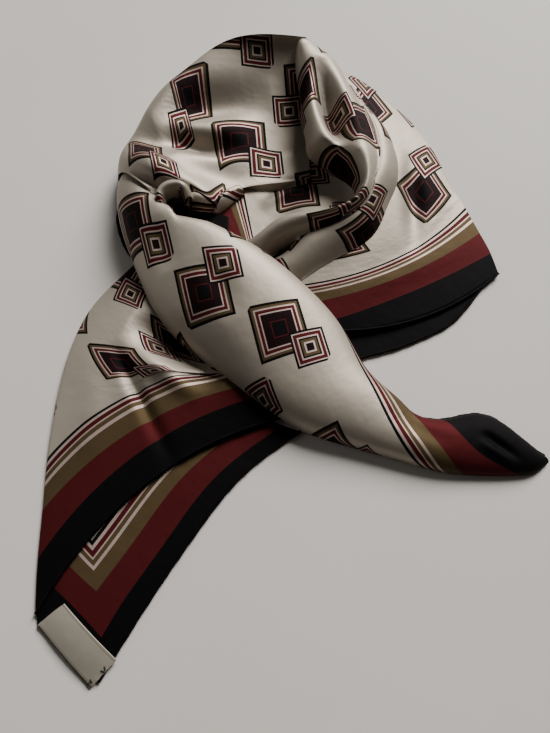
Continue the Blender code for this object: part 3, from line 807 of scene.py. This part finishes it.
RIBBON = ((1.6, RIBBON_EDGE), (2.2, RIBBON_LINE), (25.0, RIBBON_FACE), (25.6, RIBBON_LINE),
          (30.0, RIBBON_EDGE))
THREAD = 0.35                # radius of the sewing thread
STITCH = 2.6                 # length of a stitch
# x, y and turn in degrees of each stitch that shows
STITCHES = ((-132.2, -222.6, 20), (-133.5, -224.4, 75), (-142.0, -231.5, -30), (-140.6, -230.2, 35))


def ribbon_satin():
    """Polyester satin ribbon: a bright warp face with a fine rib across, and a woven edge along both long
    sides."""
    material = bpy.data.materials.new("woven satin ribbon")
    material.use_nodes = True
    nodes = material.node_tree.nodes
    nodes.clear()
    flat = add(nodes, "ShaderNodeUVMap", {"uv_map": "square"}, {})
    place = add(nodes, "ShaderNodeMapping", {},
                {"Vector": flat.outputs["UV"], "Scale": (SQUARE, SQUARE, 0)}).outputs["Vector"]
    # The ribs are 0.2 mm apart. They are drawn 0.9 mm apart here, or they wouldn't show.
    rib = add(nodes, "ShaderNodeTexWave", {"bands_direction": "X"},
              {"Vector": place, "Scale": WAVE_STEP / 0.9, "Distortion": 0.3, "Detail": 1.0})
    from_edge = add(nodes, "ShaderNodeSeparateXYZ", {}, {"Vector": place})
    woven = bands(nodes, from_edge.outputs["Y"], RIBBON[-1][0], RIBBON)
    soil = add(nodes, "ShaderNodeTexNoise", {}, {"Vector": place, "Scale": 1 / 9, "Detail": 3.0})
    tone = add(nodes, "ShaderNodeMapRange", {},
               {"Value": soil.outputs["Fac"], "To Min": 0.86, "To Max": 1.08})
    colour = add(nodes, "ShaderNodeMix", {"data_type": "RGBA", "blend_type": "MULTIPLY"},
                 {"Factor": 1.0, 6: woven, 7: tone.outputs["Result"]}).outputs[2]
    bump = add(nodes, "ShaderNodeBump", {},
               {"Height": rib.outputs["Fac"], "Strength": 0.12, "Distance": 0.0003})
    shader = add(nodes, "ShaderNodeBsdfPrincipled", {},
                 {"Base Color": colour, "Metallic": 0.3, "Roughness": 0.45, "Specular IOR Level": 0.3,
                  "Normal": bump.outputs["Normal"]})
    add(nodes, "ShaderNodeOutputMaterial", {}, {"Surface": shader.outputs["BSDF"]})
    return material


satin = ribbon_satin()
label_under = stretch("satin_label_under", LABEL_UNDER, 30, 40, below=("silk_corner_under",))
label = stretch("satin_label", LABEL, 40, 50,
                below=("silk_corner_under", "silk_flap_left", "satin_label_under"))
for ribbon in (label_under, label):
    ribbon.data.materials.append(satin)
    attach(ribbon, "root")
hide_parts("label")

# Spun polyester thread, dyed black: thin, round and dull.
black_thread = bpy.data.materials.new("black sewing thread")
black_thread.use_nodes = True
shader = black_thread.node_tree.nodes["Principled BSDF"]
shader.inputs["Base Color"].default_value = linear("#0C0B0C")
shader.inputs["Roughness"].default_value = 0.8
label_tree = tree_of([laid["satin_label"]])
for number, (x, y, turn) in enumerate(STITCHES, 1):
    bpy.ops.object.select_all(action="DESELECT")
    height = top_of(label_tree, x, y) + THREAD
    middle = ((x - TABLE_CENTRE[0]) * MM, (y - TABLE_CENTRE[1]) * MM, height * MM)
    bpy.ops.mesh.primitive_cylinder_add(vertices=10, radius=THREAD * MM, depth=STITCH * MM, location=middle,
                                        rotation=(np.pi / 2, 0, np.radians(turn)))
    stitch = bpy.context.object
    stitch.name = f"label_stitch_{number}"
    bpy.ops.object.transform_apply(location=True, rotation=True, scale=True)
    bpy.ops.object.shade_smooth()
    stitch.data.materials.append(black_thread)
    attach(stitch, "root")

# ----------------------------------------------------------------------------------------------------------
# Surface, light and camera: a plain floor with a thin rolled coat of pale matt paint. One large soft light
# stands beyond the heap, a weak one close to the surface, and the camera looks down steeply.

FLOOR_GAP = 0.0002                          # metres between the floor and the scarf
CAMERA_AT = (-0.017, -0.1759, 0.4089)       # metres
LOOKS_AT = (-0.017, -0.043, 0.0)

bpy.ops.object.select_all(action="DESELECT")
bpy.ops.mesh.primitive_plane_add(size=6.0, location=(0, 0, -FLOOR_GAP))
floor = bpy.context.object
floor.name = "floor"
# Matt wall paint from a roller: no gloss, faint clouds in its colour and a very fine orange peel.
floor_paint = bpy.data.materials.new("matt floor paint")
floor_paint.use_nodes = True
nodes = floor_paint.node_tree.nodes
shader = nodes["Principled BSDF"]
place = add(nodes, "ShaderNodeTexCoord", {}, {}).outputs["Object"]
cloud = add(nodes, "ShaderNodeTexNoise", {}, {"Vector": place, "Scale": 5.0, "Detail": 2.0})
tone = add(nodes, "ShaderNodeMix", {"data_type": "RGBA"},
           {"Factor": cloud.outputs["Fac"], 6: linear("#C4BFBA"), 7: linear("#CEC9C5")})
floor_paint.node_tree.links.new(tone.outputs[2], shader.inputs["Base Color"])
orange_peel = add(nodes, "ShaderNodeTexNoise", {}, {"Vector": place, "Scale": 420.0, "Detail": 2.0})
bump = add(nodes, "ShaderNodeBump", {}, {"Height": orange_peel.outputs["Fac"], "Strength": 0.05,
                                         "Distance": 0.0005})
floor_paint.node_tree.links.new(bump.outputs["Normal"], shader.inputs["Normal"])
shader.inputs["Roughness"].default_value = 0.7
floor.data.materials.append(floor_paint)

world = bpy.data.worlds.new("studio")
bpy.context.scene.world = world
world.use_nodes = True
world.node_tree.nodes["Background"].inputs["Color"].default_value = linear("#E6DFD4")
world.node_tree.nodes["Background"].inputs["Strength"].default_value = 0.05


def area_light(name, place, size, power, colour):
    """A square of soft light, turned to the middle of the heap."""
    bpy.ops.object.light_add(type="AREA", location=place)
    light = bpy.context.object
    light.name = name
    light.data.size = size
    light.data.energy = power
    light.data.color = linear(colour)[:3]
    light.rotation_euler = (-Vector(place)).to_track_quat("-Z", "Y").to_euler()


area_light("window_light", place=(2.3, 4.0, 3.3), size=2.8, power=690.0, colour="#FFFDFA")
area_light("low_light", place=(-1.3, 0.15, 0.55), size=0.8, power=2.5, colour="#FFFFFF")

camera_data = bpy.data.cameras.new("camera")
camera_data.lens = 27.5
camera_data.sensor_width = 36.0
camera = bpy.data.objects.new("camera", camera_data)
bpy.context.scene.collection.objects.link(camera)
camera.location = CAMERA_AT
look = Vector(LOOKS_AT) - Vector(CAMERA_AT)
camera.rotation_euler = look.to_track_quat("-Z", "Y").to_euler()
bpy.context.scene.camera = camera
